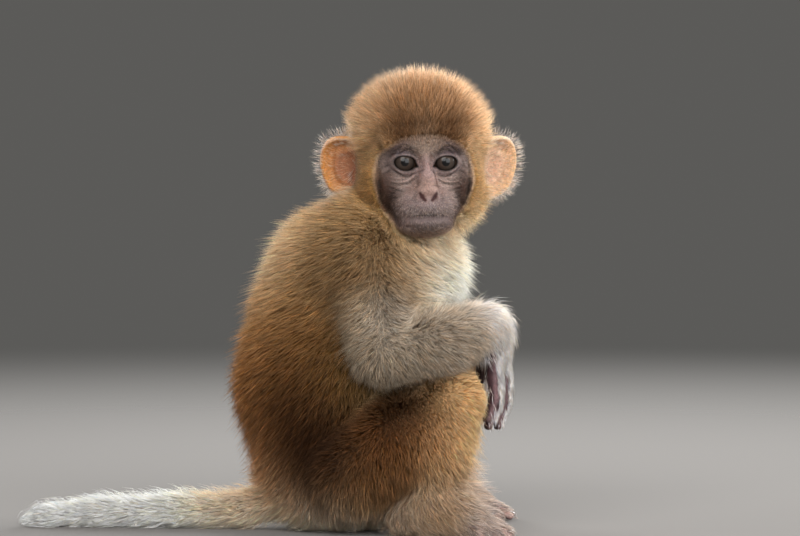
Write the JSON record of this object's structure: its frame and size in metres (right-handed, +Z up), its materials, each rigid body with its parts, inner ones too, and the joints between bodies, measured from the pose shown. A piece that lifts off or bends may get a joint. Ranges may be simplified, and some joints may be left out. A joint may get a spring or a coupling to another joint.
{
  "type": "young rhesus macaque, seated",
  "caption": "Life-size still model of a young macaque monkey that sits on the ground, forearms over its knees, head turned to its right and tail laid out behind.",
  "frame": {"origin": "on the floor, in the flat under the rump", "axes": "+X the way the pelvis faces, +Y to the monkey's left, +Z up; the face looks along -Y, turned 9 degrees towards +X"},
  "size_m": [0.2894, 0.1366, 0.2625],
  "materials": {
    "coat_golden": "dense soft fur, golden brown with pale tips",
    "coat_olive": "plush short fur, olive brown",
    "coat_grizzled": "soft fur, greyish with pale tips",
    "coat_russet": "soft fur, reddish golden brown",
    "coat_cream": "short fur, cream",
    "skin": "bare pinkish grey skin with thin pale hair",
    "ear": "thin bare skin, orange where light comes through, with a rim of pale hair",
    "eye": "wet, dark brown"
  },
  "bodies": {
    "root": {"head": "coat_olive", "neck": "coat_olive", "trunk": "coat_golden", "tail": "coat_cream", "right_eye": "eye", "left_eye": "eye", "right_ear": "ear", "left_ear": "ear", "right_upper_arm": "coat_grizzled", "right_forearm": "coat_grizzled", "right_hand": "skin", "left_upper_arm": "coat_grizzled", "left_forearm": "coat_grizzled", "left_hand": "skin", "right_thigh": "coat_russet", "right_shin": "coat_russet", "right_foot": "skin", "left_thigh": "coat_russet", "left_shin": "coat_russet", "left_foot": "skin"}
  },
  "joints": []
}
